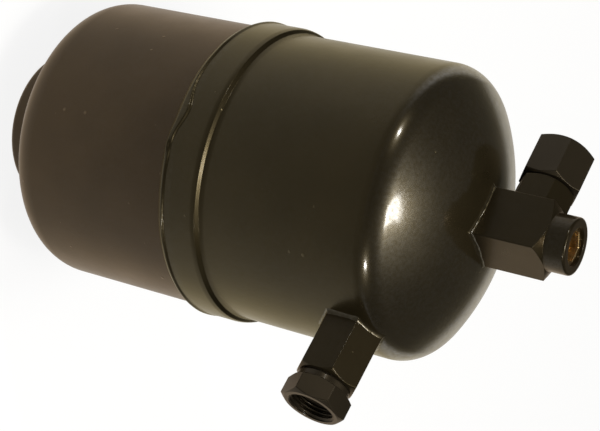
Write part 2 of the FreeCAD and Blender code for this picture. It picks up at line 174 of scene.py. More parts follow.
class DrierFittings(bpy.types.PropertyGroup):
    """Sizes of the bars, nuts, tubes and sight glass."""
    square_bar: length("Square bar", 0.01905, "Side of the head block's bar")
    port_hex: length("Side bar", 0.01905, "Hexagon of the side port's bar, across its flats")
    arm_hex: length("Head arm", 0.01746, "Hexagon of the head port's arm, across its flats")
    braze: length("Braze", 0.0009, "Leg of the braze fillets")
    block_rise: length("Block rise", 0.02235, "Height of the block's shoulder over the dome")
    boss_height: length("Boss height", 0.0073, "Height of the round boss")
    boss_radius: length("Boss radius", 0.0095, "Radius of the round boss")
    boss_rim: length("Boss rim", 0.0013, "Radius of the boss's rounded rim")
    turned_drop: length("Turned drop", 0.002, "How far the turning runs down the block's corners")
    head_port_rise: length("Head port rise", 0.012, "Height of the head port over the dome")
    arm_reach: length("Arm reach", 0.0091, "How far the arm stands out of the block")
    side_port_drop: length("Side port drop", 0.005, "How far the side port lies under the wall's upper end")
    side_bar_reach: length("Side bar reach", 0.0189, "How far the side bar stands out of the wall")
    edge: length("Bar edge", 0.00032, "Rounding of the bars' painted edges")
    chamfer: angle("Chamfer", 30, "Angle of the turned chamfers on the hexagons")
    hex_inset: length("Hexagon inset", 0.0003, "How far a turned end face stays inside the flats")
    way_radius: length("Way radius", 0.004, "Radius of the ways for the refrigerant")
    tube_radius: length("Tube radius", 0.004765, "Outside radius of the tubes")
    tube_wall: length("Tube wall", 0.00081, "Wall of the tubes")
    tube_socket: length("Tube socket", 0.006, "Depth to which a tube goes into its bar")
    flare_rise: length("Flare rise", 0.00135, "How far the flare opens")
    seat_gap: length("Seat gap", 0.0004, "Play of the flare on its nut")
    run_fit: length("Running fit", 0.00008, "Play of a nut round its tube")
    nut_hex: length("Nut", 0.01905, "Hexagon of the nuts, across their flats")
    nut_thread: length("Thread radius", 0.0072, "Radius inside the nuts' thread")
    nut_mouth: length("Mouth radius", 0.0079, "Radius of the countersink at a nut's mouth")
    nut_face: length("Nut face", 0.0092, "Radius of a nut's turned face")
    nut_gap: length("Nut gap", 0.00035, "Gap between a nut and its bar")
    thread_pitch: length("Thread pitch", 0.001411, "Distance between two turns of the thread")
    thread_depth: length("Thread depth", 0.00075, "Depth of the thread")
    head_nut_length: length("Head nut length", 0.0154, "Length of the head port's nut")
    head_nut_lip: length("Head nut lip", 0.003, "Depth of metal behind the head port's flare")
    head_nut_turn: angle("Head nut turn", -5, "Turn of the head nut, a corner's from up towards +Y")
    side_nut_length: length("Side nut length", 0.0095, "Length of the side port's nut")
    side_nut_lip: length("Side nut lip", 0.0021, "Depth of metal behind the side port's flare")
    side_nut_turn: angle("Side nut turn", 18, "Turn of the side nut, a corner's from up towards +Y")
    side_collar: length("Side collar", 0.002, "Length of the side nut's round collar")
    side_collar_radius: length("Collar radius", 0.0089, "Radius of the side nut's round collar")
    plug_radius: length("Plug radius", 0.00635, "Radius of the sight glass's plug")
    plug_sunk: length("Plug depth", 0.0012, "How far the plug lies under the boss's rim")
    plug_length: length("Plug length", 0.0103, "Length of the sight glass's plug")
    plug_key: length("Plug key", 0.0095, "Hexagon socket of the plug, across its flats")
    plug_key_depth: length("Key depth", 0.005, "Depth of the plug's socket")
    window_radius: length("Window radius", 0.0032, "Radius of the sight glass's window")
    lens_radius: length("Lens radius", 0.0047, "Radius of the glass")
    lens_thick: length("Lens thickness", 0.0028, "Thickness of the glass")
    lens_shelf: length("Lens shelf", 0.0013, "Depth of the ring under the glass")


class DrierFinishes(bpy.types.PropertyGroup):
    """Colours and textures of the finishes."""
    paint: colour("Paint", (0.0115, 0.0088, 0.0042), "Colour of the black paint, a warm black")
    # A browner tone of the paint, and a lighter base colour that is painted light for the brighter lower cup
    lower_paint_and_light: colour("Lower paint", (0.017, 0.0115, 0.006), "Colour of the lower cup's paint, browner")
    paint_sheen: colour("Paint sheen", (1.0, 0.84, 0.5), "Tint of the paint's reflections")
    lower_sheen: colour("Lower sheen", (1.0, 0.78, 0.55), "Tint of the lower cup's reflections")
    nut_paint: colour("Nut finish", (0.0105, 0.0084, 0.0052), "Colour of the blackened nuts")
    brass: colour("Brass", (0.78, 0.56, 0.27), "Colour of the sight glass's plug")
    steel: colour("Steel", (0.42, 0.40, 0.37), "Colour of the bare tubes and plates")
    copper: colour("Copper", (0.72, 0.36, 0.22), "Colour of the sealing washer")
    felt: colour("Felt", (0.62, 0.60, 0.54), "Colour of the filter felt")
    beads: colour("Beads", (0.68, 0.60, 0.46), "Colour of the desiccant beads")
    paint_gloss: share("Paint roughness", 0.3, "Roughness of the paint's broad gloss")
    clear_gloss: share("Clear roughness", 0.13, "Roughness of the paint's crisp gloss")
    head_gloss: share("Head gloss", 0.8, "Weight of the crisp gloss on the domed head")
    peel: length("Orange peel", 0.0012, "Size of the paint's orange peel")
    nib: length("Nib spacing", 0.009, "Distance between the dust nibs under the paint")


def plan():
    """The sizes of the panel and the heights and radii that follow from them, in metres."""
    c = bpy.context.scene.drier_canister
    f = bpy.context.scene.drier_fittings
    p = SimpleNamespace(c=c, f=f)

    def depth(knuckle, crown):
        return crown - math.sqrt((crown - knuckle) ** 2 - (c.body_radius - knuckle) ** 2)

    p.inner = c.body_radius - c.sheet
    p.bell = c.body_radius + c.sheet
    p.lower_wall = c.floor_gap + depth(c.lower_knuckle, c.lower_crown)
    p.apex = c.upper_wall + depth(c.upper_knuckle, c.upper_crown)
    p.lower_centre = c.floor_gap + c.lower_crown
    p.upper_centre = p.apex - c.upper_crown
    p.block = f.square_bar / 2
    p.boss = p.apex + f.block_rise
    p.top = p.boss + f.boss_height
    p.head_port = p.apex + f.head_port_rise
    p.side_port = c.upper_wall - f.side_port_drop
    p.arm_end = p.block + f.arm_reach
    p.side_end = c.body_radius + f.side_bar_reach
    p.head_nut = p.arm_end + f.nut_gap
    p.side_nut = p.side_end + f.nut_gap
    p.plug_top = p.top - f.plug_sunk
    p.plug_foot = p.plug_top - f.plug_length
    p.lens_foot = p.plug_foot + f.lens_shelf
    p.lens_top = p.lens_foot + f.lens_thick
    x, y, z = np.eye(3)
    p.upright = (0 * z, z, x, y)
    p.side = (p.side_port * z, x, y, z)
    p.head = (p.head_port * z, -x, z, y)
    return p


def straight(start, end, steps):
    """Points on a line, start + t (end - start), t from 0 to 1 in even steps."""
    t = np.linspace(0, 1, steps)[:, None]
    return np.array(start) + t * (np.array(end) - np.array(start))


def bow(centre, radius, start, end, steps):
    """Points on a circle, centre + radius (cos a, sin a), a from start to end in even steps."""
    a = np.linspace(start, end, steps)
    return np.stack([centre[0] + radius * np.cos(a), centre[1] + radius * np.sin(a)], axis=1)


def parabola(start, corner, end, steps):
    """Points on the parabola from start to end that is bent towards a corner: (1 - t)² start +
    2 t (1 - t) corner + t² end, t from 0 to 1 in even steps, for every column at once."""
    t = np.linspace(0, 1, steps)[:, None, None]
    return (1 - t) ** 2 * start + 2 * t * (1 - t) * corner + t ** 2 * end


def round_columns(count):
    """Directions round the axis in even steps, in radians."""
    return np.linspace(0, TURN, count, endpoint=False)


def turned_from(a, middle):
    """How far an angle lies from another, from minus to plus half a turn."""
    return (a - middle + math.pi) % TURN - math.pi


def joggle(r_low, r_high, c, steps=41):
    """The step in the belled wall: half of it is a smooth step over the whole height and half a steep one in
    the middle. The points lie closer there, at half the height times u |u|^0.7 for even u from -1 to 1."""
    u = np.linspace(-1, 1, steps)
    height = c.joggle_half * u * np.abs(u) ** 0.7
    soft = eased(0.5 + height / (2 * c.joggle_half))
    steep = eased(0.5 + height / (2 * c.joggle_steep))
    out = r_low + (r_high - r_low) * (0.5 * soft + 0.5 * steep)
    return np.stack([out, c.joggle + height], axis=1)


def dome(p, inset, upper, inner_radius, steps=40):
    """Half section of a dome, from the wall's end inwards: the knuckle's arc, then the crown's, which
    touch at the angle whose cosine is (body radius - knuckle) / (crown - knuckle)."""
    c = p.c
    knuckle, crown = (c.upper_knuckle, c.upper_crown) if upper else (c.lower_knuckle, c.lower_crown)
    wall, centre = (c.upper_wall, p.upper_centre) if upper else (p.lower_wall, p.lower_centre)
    side = 1 if upper else -1
    turn = math.acos((c.body_radius - knuckle) / (crown - knuckle))
    last = math.acos(inner_radius / (crown - inset))
    first = bow((c.body_radius - knuckle, wall), knuckle - inset, 0, side * turn, steps // 2)
    return joined(first, bow((0, centre), crown - inset, side * turn, side * last, steps))


def joined(*pieces):
    """One line through several, without the points that two neighbours share."""
    points = [pieces[0]]
    for piece in pieces[1:]:
        meets = np.linalg.norm(points[-1][-1] - piece[0]) < 1e-7
        points.append(piece[1:] if meets else piece)
    return np.concatenate(points)


def crown_height(p, radius, upper=True):
    """Height of a dome's outside at a distance from the axis: its centre's, and above or below that
    sqrt(crown² - radius²)."""
    if upper:
        return p.upper_centre + np.sqrt(p.c.upper_crown ** 2 - radius ** 2)
    return p.lower_centre - np.sqrt(p.c.lower_crown ** 2 - radius ** 2)


def body_side(p, y, z):
    """How far out in X the canister's outside lies at y, z: sqrt(ring² - y²), where the ring's radius is
    the wall's, or above the wall's end that of the knuckle's arc."""
    k = p.c.upper_knuckle
    over = np.clip(z - p.c.upper_wall, 0, k)
    ring = p.c.body_radius - k + np.sqrt(k ** 2 - over ** 2)
    return np.sqrt(ring ** 2 - y ** 2)


def polygon(at, sides, flat, corner, rounding):
    """Distance from the axis to a regular polygon with its corners rounded, in the directions at:
    flat / cos(angle from the side's middle), and on the rounding, whose centre lies d from the axis,
    d cos(a) + sqrt(rounding² - d² sin²(a)), a from the corner."""
    half = math.pi / sides
    a = np.abs((at - corner + half) % (2 * half) - half)
    d = (flat - rounding) / math.cos(half)
    touch = half - math.atan((flat - rounding) * math.tan(half) / flat)
    on_arc = d * np.cos(a) + np.sqrt(np.clip(rounding ** 2 - (d * np.sin(a)) ** 2, 0, None))
    return np.where(a < touch, on_arc, flat / np.cos(half - a))


def polygon_columns(sides, flat, corner, rounding, on_flat=8, on_corner=7):
    """Directions for a polygon's columns: even steps on the roundings, and steps along the flats that
    are even in the tangent, with one close to each rounding so that the flats shade flat."""
    half = math.pi / sides
    touch = half - math.atan((flat - rounding) * math.tan(half) / flat)
    arc = np.linspace(-touch, touch, on_corner)
    reach = math.tan(half - touch)
    even = np.linspace(0.8, -0.8, on_flat)
    flats = half - np.arctan(reach * np.concatenate([[0.985], even, [-0.985]]))
    sector = np.concatenate([arc, flats])
    return (corner + sector[None, :] + 2 * half * np.arange(sides)[:, None]).reshape(-1)


def softened(corners, rounding, ring, steps=5):
    """A profile whose corners are rounded: where a corner has a rounding, it gives way to a parabola
    that touches both sides at rounding * tan(turn / 2) from it, with a row close outside each end.
    corners has the shape (corner, column, 2)."""
    before = np.roll(corners, 1, axis=0)
    after = np.roll(corners, -1, axis=0)
    rows = []
    for k, radius in enumerate(rounding):
        here = corners[k]
        if radius == 0 or (not ring and k in (0, len(rounding) - 1)):
            rows.append(here[None])
            continue
        back = before[k] - here
        forth = after[k] - here
        long_back = np.linalg.norm(back, axis=1, keepdims=True)
        long_forth = np.linalg.norm(forth, axis=1, keepdims=True)
        cosine = -np.sum(back * forth, axis=1, keepdims=True) / (long_back * long_forth)
        tangent = np.sqrt(np.clip((1 - cosine) / (1 + cosine), 0, 9))
        reach = np.minimum(radius * tangent, 0.3 * np.minimum(long_back, long_forth))
        a = here + back / long_back * reach
        b = here + forth / long_forth * reach
        rows.append((here + back / long_back * reach * 1.4)[None])
        rows.append(parabola(a, here, b, steps))
        rows.append((here + forth / long_forth * reach * 1.4)[None])
    return np.concatenate(rows)


def corner_rows(columns, *corners):
    """Profile corners as one array (corner, column, 2): each is (out, along), a number or one per column."""
    rows = []
    for corner in corners:
        spread_out = [np.broadcast_to(value, columns.shape).astype(float) for value in corner]
        rows.append(np.stack(spread_out, axis=-1))
    return np.stack(rows)


def wrapped(profile, columns, lie):
    """The surface of a profile carried round an axis: origin + along * axis + out * (cos a u + sin a w).
    profile is (row, 2), or (row, column, 2) where it changes on the way round."""
    origin, axis, u, w = lie
    if profile.ndim == 2:
        profile = np.broadcast_to(profile[:, None, :], (len(profile), len(columns), 2))
    out = profile[..., 0][..., None]
    along = profile[..., 1][..., None]
    spoke = np.cos(columns)[:, None] * u + np.sin(columns)[:, None] * w
    return origin + along * axis + out * spoke[None]


def make_piece(name, points, ring, material, body, replaced):
    """A mesh over a grid of points, closed round the axis. A ring's last row joins its first, and any
    other surface ends in a pole at the middle of its first and last rows."""
    rows, columns = points.shape[:2]
    index = np.arange(rows * columns).reshape(rows, columns)
    low, high = (index, np.roll(index, -1, axis=0)) if ring else (index[:-1], index[1:])
    quads = np.stack([low, np.roll(low, -1, axis=1), np.roll(high, -1, axis=1), high], axis=-1).reshape(-1, 4)
    vertices = points.reshape(-1, 3)
    faces = quads.tolist()
    if not ring:
        poles = np.stack([points[0].mean(axis=0), points[-1].mean(axis=0)])
        first = np.full(columns, len(vertices))
        vertices = np.concatenate([vertices, poles])
        faces += np.stack([first, np.roll(index[0], -1), index[0]], axis=-1).tolist()
        faces += np.stack([first + 1, index[-1], np.roll(index[-1], -1)], axis=-1).tolist()
    mesh = bpy.data.meshes.new(name)
    mesh.from_pydata(vertices.tolist(), [], faces)
    mesh.validate()
    mesh.shade_smooth()
    mesh.set_sharp_from_angle(angle=math.radians(SHARP_FROM))
    mesh.materials.append(material)
    piece = bpy.data.objects.new(name, mesh)
    bpy.context.scene.collection.objects.link(piece)
    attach(piece, body)
    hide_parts(*replaced)
    return piece


def waver(a, waves):
    """A smooth uneven line round the axis: the sum of size * sin(count * a + 1.7 count²), over the
    (count, size) pairs."""
    return sum(size * np.sin(count * a + 1.7 * count * count) for count, size in waves)


def eased(t):
    """A smooth step from 0 to 1: 3t² - 2t³, level outside 0 to 1."""
    t = np.clip(t, 0, 1)
    return t * t * (3 - 2 * t)


def hump(a, middle, width):
    """A smooth hump of height 1 round an angle: exp(-(difference / width)²)."""
    return np.exp(-(turned_from(a, middle) / width) ** 2)


def facing(azimuth, elevation):
    """The unit vector towards an azimuth and an elevation in degrees."""
    a = math.radians(azimuth)
    e = math.radians(elevation)
    return math.cos(a) * math.cos(e), math.sin(a) * math.cos(e), math.sin(e)


def on_wall(p):
    """For a bar along +X: how far out the canister's outside lies, in direction a at a distance from the
    bar's axis."""
    def reach(a, out):
        return body_side(p, out * np.cos(a), p.side_port + out * np.sin(a))
    return reach


def fill(tree, node, inputs):
    """Sets a node's inputs to values, or links them to sockets."""
    for socket, value in inputs.items():
        if isinstance(value, bpy.types.NodeSocket):
            tree.links.new(value, node.inputs[socket])
        else:
            node.inputs[socket].default_value = value


def put(tree, kind, inputs=None, **settings):
    """A new node with its settings and inputs."""
    node = tree.nodes.new(kind)
    for key, value in settings.items():
        setattr(node, key, value)
    fill(tree, node, inputs or {})
    return node


def calc(tree, operation, a, b=0.0, clamp=False):
    """The result of a Math node."""
    return put(tree, "ShaderNodeMath", {0: a, 1: b}, operation=operation, use_clamp=clamp).outputs[0]


def spread(tree, value, low, high, to_low=0.0, to_high=1.0):
    """The result of a Map Range node."""
    inputs = {"Value": value, "From Min": low, "From Max": high, "To Min": to_low, "To Max": to_high}
    return put(tree, "ShaderNodeMapRange", inputs).outputs["Result"]


def blend_colours(tree, factor, a, b):
    """The result of a Mix node between two colours."""
    return put(tree, "ShaderNodeMix", {0: factor, 6: a, 7: b}, data_type="RGBA").outputs[2]


def bumped(tree, height, depth):
    """The normal of a Bump node, for a height in units of the depth, in metres."""
    inputs = {"Height": height, "Strength": 1.0, "Distance": depth}
    return put(tree, "ShaderNodeBump", inputs).outputs["Normal"]


def shade(base, factors, lift=(0, 0, 0)):
    """A colour with each channel times its factor and then lifted, and an alpha of 1."""
    return (*(part * factor + more for part, factor, more in zip(base, factors, lift)), 1)


def towards(tree, vector, direction):
    """The dot product of a vector and a fixed direction."""
    product = put(tree, "ShaderNodeVectorMath", {0: vector, 1: direction}, operation="DOT_PRODUCT")
    return product.outputs["Value"]


def noise(tree, vector, scale, **shape):
    """The value of a Noise texture."""
    inputs = {"Vector": vector, "Scale": scale}
    inputs.update(shape)
    return put(tree, "ShaderNodeTexNoise", inputs).outputs["Fac"]


def seen(tree):
    """1 for camera, glossy and transmission rays, and 0 for the rest."""
    path = put(tree, "ShaderNodeLightPath")
    plain = calc(tree, "MAXIMUM", path.outputs["Is Camera Ray"], path.outputs["Is Glossy Ray"])
    return calc(tree, "MAXIMUM", plain, path.outputs["Is Transmission Ray"])


def shared_group(name, numbers, results):
    """A node group that takes a vector and numbers, with their defaults, and gives numbers as results. Also
    its input and output nodes."""
    group = bpy.data.node_groups.new(name, "ShaderNodeTree")
    group.interface.new_socket(name="Vector", in_out="INPUT", socket_type="NodeSocketVector")
    for label, default in numbers.items():
        socket = group.interface.new_socket(name=label, in_out="INPUT", socket_type="NodeSocketFloat")
        socket.default_value = default
    for label in results:
        group.interface.new_socket(name=label, in_out="OUTPUT", socket_type="NodeSocketFloat")
    return group, group.nodes.new("NodeGroupInput"), group.nodes.new("NodeGroupOutput")


def paint_film():
    """What sprayed paint does to a surface: orange peel, slow waves, and a few dust nibs."""
    if "paint_film" in bpy.data.node_groups:
        return bpy.data.node_groups["paint_film"]
    numbers = {"Peel Scale": 800.0, "Nib Scale": 90.0, "Nib Share": 0.5}
    group, start, end = shared_group("paint_film", numbers, ("Height", "Peel", "Nibs", "Cloud", "Haze"))
    vector = start.outputs["Vector"]
    peel_scale = start.outputs["Peel Scale"]
    peel = noise(group, vector, peel_scale, Detail=1.5, Roughness=0.5)
    slow = noise(group, vector, calc(group, "MULTIPLY", peel_scale, 0.16), Detail=1.0)
    cells = {"Vector": vector, "Scale": start.outputs["Nib Scale"], "Randomness": 1.0}
    cell = put(group, "ShaderNodeTexVoronoi", cells)
    chosen = put(group, "ShaderNodeSeparateColor", {"Color": cell.outputs["Color"]})
    wanted = calc(group, "LESS_THAN", chosen.outputs["Red"], start.outputs["Nib Share"])
    size = spread(group, chosen.outputs["Green"], 0.0, 1.0, *NIB_RADII)
    dot = calc(group, "SUBTRACT", 1.0, calc(group, "DIVIDE", cell.outputs["Distance"], size), clamp=True)
    nibs = calc(group, "MULTIPLY", calc(group, "POWER", dot, 0.6), wanted)
    cloud = noise(group, vector, 22.0, Detail=3.0, Roughness=0.55)
    haze = noise(group, vector, 70.0, Detail=4.0, Roughness=0.6)
    waves = calc(group, "ADD", calc(group, "MULTIPLY", peel, 0.55), calc(group, "MULTIPLY", slow, 0.9))
    height = calc(group, "ADD", waves, calc(group, "MULTIPLY", nibs, NIB_RISE))
    fill(group, end, {"Height": height, "Peel": peel, "Nibs": nibs, "Cloud": cloud, "Haze": haze})
    return group


def turned_lay():
    """Marks of a lathe tool round the vector's Z axis, with blotches of handling: the rings are noise along
    the radius and the axis."""
    if "turned_lay" in bpy.data.node_groups:
        return bpy.data.node_groups["turned_lay"]
    group, start, end = shared_group("turned_lay", {"Ring Scale": 4000.0}, ("Height", "Stain"))
    parts = put(group, "ShaderNodeSeparateXYZ", {"Vector": start.outputs["Vector"]})
    flat = put(group, "ShaderNodeCombineXYZ", {"X": parts.outputs["X"], "Y": parts.outputs["Y"]})
    radius = put(group, "ShaderNodeVectorMath", {0: flat.outputs[0]}, operation="LENGTH").outputs["Value"]
    lay = put(group, "ShaderNodeCombineXYZ", {"X": radius, "Y": parts.outputs["Z"]})
    rings = noise(group, lay.outputs[0], start.outputs["Ring Scale"], Detail=2.0)
    stain = noise(group, start.outputs["Vector"], 380.0, Detail=4.0, Roughness=0.6)
    fill(group, end, {"Height": rings, "Stain": stain})
    return group


def blank_material(name):
    """A material with a Principled shader alone, its node tree, the shader and Object coordinates."""
    material = bpy.data.materials.new(name)
    material.use_nodes = True
    tree = material.node_tree
    tree.nodes.clear()
    shader = put(tree, "ShaderNodeBsdfPrincipled")
    output = put(tree, "ShaderNodeOutputMaterial")
    tree.links.new(shader.outputs["BSDF"], output.inputs["Surface"])
    coordinates = put(tree, "ShaderNodeTexCoord")
    return material, tree, shader, coordinates.outputs["Object"]


def painted(
    name, base, sheen, roughness, depth, coarse=1.0, nib_share=0.7, level=0.4, clear=0.07, glossy_above=None
):
    """Sprayed black paint: a warm black with a broad tinted gloss under a crisp clear one, orange peel, dust
    nibs and slow changes of gloss and tone. depth is the film's unit of height in metres, level the strength
    of the broad gloss and clear the weight of the crisp one, less at the edges. glossy_above gives two
    heights, between which that weight changes, and the weight above them. The share BRONZE_CAST of the broad
    gloss is a metal's, for the cast that the paint shows at its edges, and the base colour is raised in
    return, so that the diffuse part stays as it was."""
    if name in bpy.data.materials:
        return bpy.data.materials[name]
    finish = bpy.context.scene.drier_finishes
    material, tree, shader, place = blank_material(name)
    grains = {"Peel Scale": coarse / finish.peel, "Nib Scale": 1 / finish.nib, "Nib Share": nib_share}
    film = put(tree, "ShaderNodeGroup", None, node_tree=paint_film())
    fill(tree, film, {"Vector": place, **grains})
    base = tuple(part / (1 - BRONZE_CAST) for part in base)
    dark = shade(base, (0.8, 0.8, 0.8))
    light = shade(base, (1.2, 1.18, 1.14))
    dusty = shade(base, (3.2, 3.2, 3.2), (0.02, 0.02, 0.017))
    tone = blend_colours(tree, spread(tree, film.outputs["Cloud"], 0.3, 0.7), dark, light)
    dust = calc(tree, "MULTIPLY", film.outputs["Nibs"], 0.55)
    rough = spread(tree, film.outputs["Haze"], 0.25, 0.75, roughness - 0.035, roughness + 0.05)
    full = clear
    if glossy_above is not None:
        low, high, full_clear = glossy_above
        height = put(tree, "ShaderNodeSeparateXYZ", {"Vector": place}).outputs["Z"]
        full = spread(tree, height, low, high, clear, full_clear)
    broken = spread(tree, film.outputs["Peel"], 0.3, 0.7, 0.6, 1.4)
    edge = put(tree, "ShaderNodeLayerWeight", {"Blend": 0.5}).outputs["Facing"]
    steep = spread(tree, edge, 0.45, 0.95, 1.0, 0.2)
    coat = calc(tree, "MULTIPLY", calc(tree, "MULTIPLY", broken, full), steep)
    fill(tree, shader, {
        "Base Color": blend_colours(tree, dust, tone, dusty),
        "Roughness": rough,
        "Normal": bumped(tree, film.outputs["Height"], depth),
        "Metallic": BRONZE_CAST,
        "Specular IOR Level": level,
        "Specular Tint": (*sheen, 1),
        "Coat Weight": coat,
        "Coat Roughness": finish.clear_gloss,
        "Coat IOR": 1.58,
        "Sheen Weight": 0.06,
        "Sheen Roughness": 0.35,
        "Sheen Tint": (*sheen, 1),
    })
    return material


def turned_metal(name, base, roughness, depth, turn=(0, 0, 0), centre=(0, 0, 0), scale=4000.0, dull=0.5):
    """Bare metal with a lathe's marks round the axis that the Mapping node puts on Z, stained in places."""
    if name in bpy.data.materials:
        return bpy.data.materials[name]
    material, tree, shader, place = blank_material(name)
    axis = {"Vector": place, "Location": centre, "Rotation": turn}
    shift = put(tree, "ShaderNodeMapping", axis, vector_type="TEXTURE")
    lay = put(tree, "ShaderNodeGroup", None, node_tree=turned_lay())
    fill(tree, lay, {"Vector": shift.outputs["Vector"], "Ring Scale": scale})
    dark = shade(base, (dull, dull * 0.92, dull * 0.85))
    stain = spread(tree, lay.outputs["Stain"], 0.35, 0.68)
    fill(tree, shader, {
        "Base Color": blend_colours(tree, stain, (*base, 1), dark),
        "Roughness": spread(tree, lay.outputs["Stain"], 0.3, 0.7, roughness, roughness + 0.14),
        "Normal": bumped(tree, lay.outputs["Height"], depth),
        "Metallic": 1.0,
    })
    return material


def soft_filling(name, base, scale, roughness, depth, grain):
    """Felt or beads: noise for fibres, or the cells of a Voronoi texture for beads, as colour and height. The
    colour darkens where the height is low, a painted shade between the beads and in the felt's hollows.
    """
    if name in bpy.data.materials:
        return bpy.data.materials[name]
    material, tree, shader, place = blank_material(name)
    if grain:
        cell = put(tree, "ShaderNodeTexVoronoi", {"Vector": place, "Scale": scale, "Randomness": 0.7})
        height = calc(tree, "SUBTRACT", 1.0, calc(tree, "POWER", cell.outputs["Distance"], 2.0))
    else:
        height = noise(tree, place, scale, Detail=8.0, Distortion=1.5)
    # Painted shade: a darker copy of the colour for the low parts
    dark = shade(base, (0.55, 0.52, 0.48))
    fill(tree, shader, {
        "Base Color": blend_colours(tree, spread(tree, height, 0.3, 0.9), dark, (*base, 1)),
        "Roughness": roughness,
        "Normal": bumped(tree, height, depth),
    })
    return material


def sight_glass_material():
    """Clear glass, with a trace of oil haze as uneven roughness."""
    if "sight_glass" in bpy.data.materials:
        return bpy.data.materials["sight_glass"]
    material, tree, shader, place = blank_material("sight_glass")
    film = noise(tree, place, 600.0, Detail=3.0)
    fill(tree, shader, {
        "Base Color": (0.93, 0.95, 0.9, 1),
        "Roughness": spread(tree, film, 0.4, 0.7, 0.02, 0.12),
        "Transmission Weight": 1.0,
        "IOR": 1.5,
    })
    return material


def upper_paint():
    """The upper cup's paint, whose clear gloss is fullest on the domed head."""
    finish = bpy.context.scene.drier_finishes
    wall = plan().c.upper_wall
    head = (wall + 0.002, wall + 0.0045, finish.head_gloss)
    name = "sprayed_upper_shell"
    return painted(name, finish.paint, finish.paint_sheen, finish.paint_gloss, 0.000012, glossy_above=head)


def lower_paint_and_light():
    """The browner paint of the lower cup and the foot, a little duller. Its base colour is also lighter than
    the upper cup's, a painted light for the brighter light on the lower part.
    """
    finish = bpy.context.scene.drier_finishes
    dull = finish.paint_gloss + 0.04
    return painted("sprayed_lower_shell", finish.lower_paint_and_light, finish.lower_sheen, dull, 0.000012)


def weld_paint():
    """The paint over the weld beads, rougher and glossier."""
    finish = bpy.context.scene.drier_finishes
    gloss = finish.paint_gloss
    return painted("sprayed_weld", finish.paint, finish.paint_sheen, gloss, 0.00002, coarse=0.8, clear=0.12)


def bar_paint():
    """The paint on the machined bars, darker, with a glossier boss."""
    finish = bpy.context.scene.drier_finishes
    boss = (plan().boss, plan().boss + 0.001, 0.2)
    paint = tuple(0.8 * part for part in finish.paint)
    return painted(
        "sprayed_bar",
        paint,
        finish.lower_sheen,
        finish.paint_gloss,
        0.000014,
        coarse=1.3,
        level=0.15,
        glossy_above=boss,
    )


def nut_finish():
    """The nuts' black finish, dull and nearly free of nibs."""
    finish = bpy.context.scene.drier_finishes
    return painted(
        "blackened_nut",
        finish.nut_paint,
        finish.lower_sheen,
        finish.paint_gloss + 0.08,
        0.000016,
        coarse=1.8,
        nib_share=0.25,
        level=0.3,
    )


def braze_paint():
    """The paint over the braze fillets, glossy because it lies thick there."""
    finish = bpy.context.scene.drier_finishes
    return painted(
        "sprayed_braze",
        finish.paint,
        finish.paint_sheen,
        finish.paint_gloss,
        0.00003,
        coarse=0.9,
        nib_share=0.2,
        clear=0.4,
    )


class DRIER_OT_shells(bpy.types.Operator):
    """Builds the two drawn cups: half sections carried round the axis, walls and all"""
    bl_idname = "drier.shells"
    bl_label = "Shells"

    def execute(self, context):
        p = plan()
        c = p.c
        columns = round_columns(RING_COLUMNS)
        hole = p.f.tube_radius
        low = c.joggle - c.joggle_half
        high = c.joggle + c.joggle_half
        lip = c.sheet * 0.2
        outside = joined(
            straight((p.bell, c.skirt + lip), (p.bell, low), 5),
            joggle(p.bell, c.body_radius, c),
            straight((c.body_radius, high), (c.body_radius, c.upper_wall), 12),
            dome(p, 0, True, hole, 60),
        )
        inside = joined(
            dome(p, c.sheet, True, hole, 30)[::-1],
            straight((p.inner, c.upper_wall), (p.inner, high), 3),
            joggle(c.body_radius, p.inner, c, 15)[::-1],
            straight((c.body_radius, low), (c.body_radius, c.skirt), 3),
            np.array([[p.bell - lip, c.skirt]]),
        )
        skin = wrapped(joined(outside, inside), columns, p.upright)
        make_piece("upper_shell_skin", skin, True, upper_paint(), "canister", ["upper_shell"])
        rim = c.joggle - c.joggle_half - c.lap_gap
        start = c.sheet * 0.1
        cup = joined(
            dome(p, 0, False, start, 50)[::-1],
            straight((c.body_radius, p.lower_wall), (c.body_radius, rim), 14),
            straight((p.inner, rim), (p.inner, p.lower_wall), 3),
            dome(p, c.sheet, False, start, 30),
        )
        skin = wrapped(cup, columns, p.upright)
        make_piece("lower_shell_skin", skin, False, lower_paint_and_light(), "canister", ["lower_shell"])
        return {"FINISHED"}


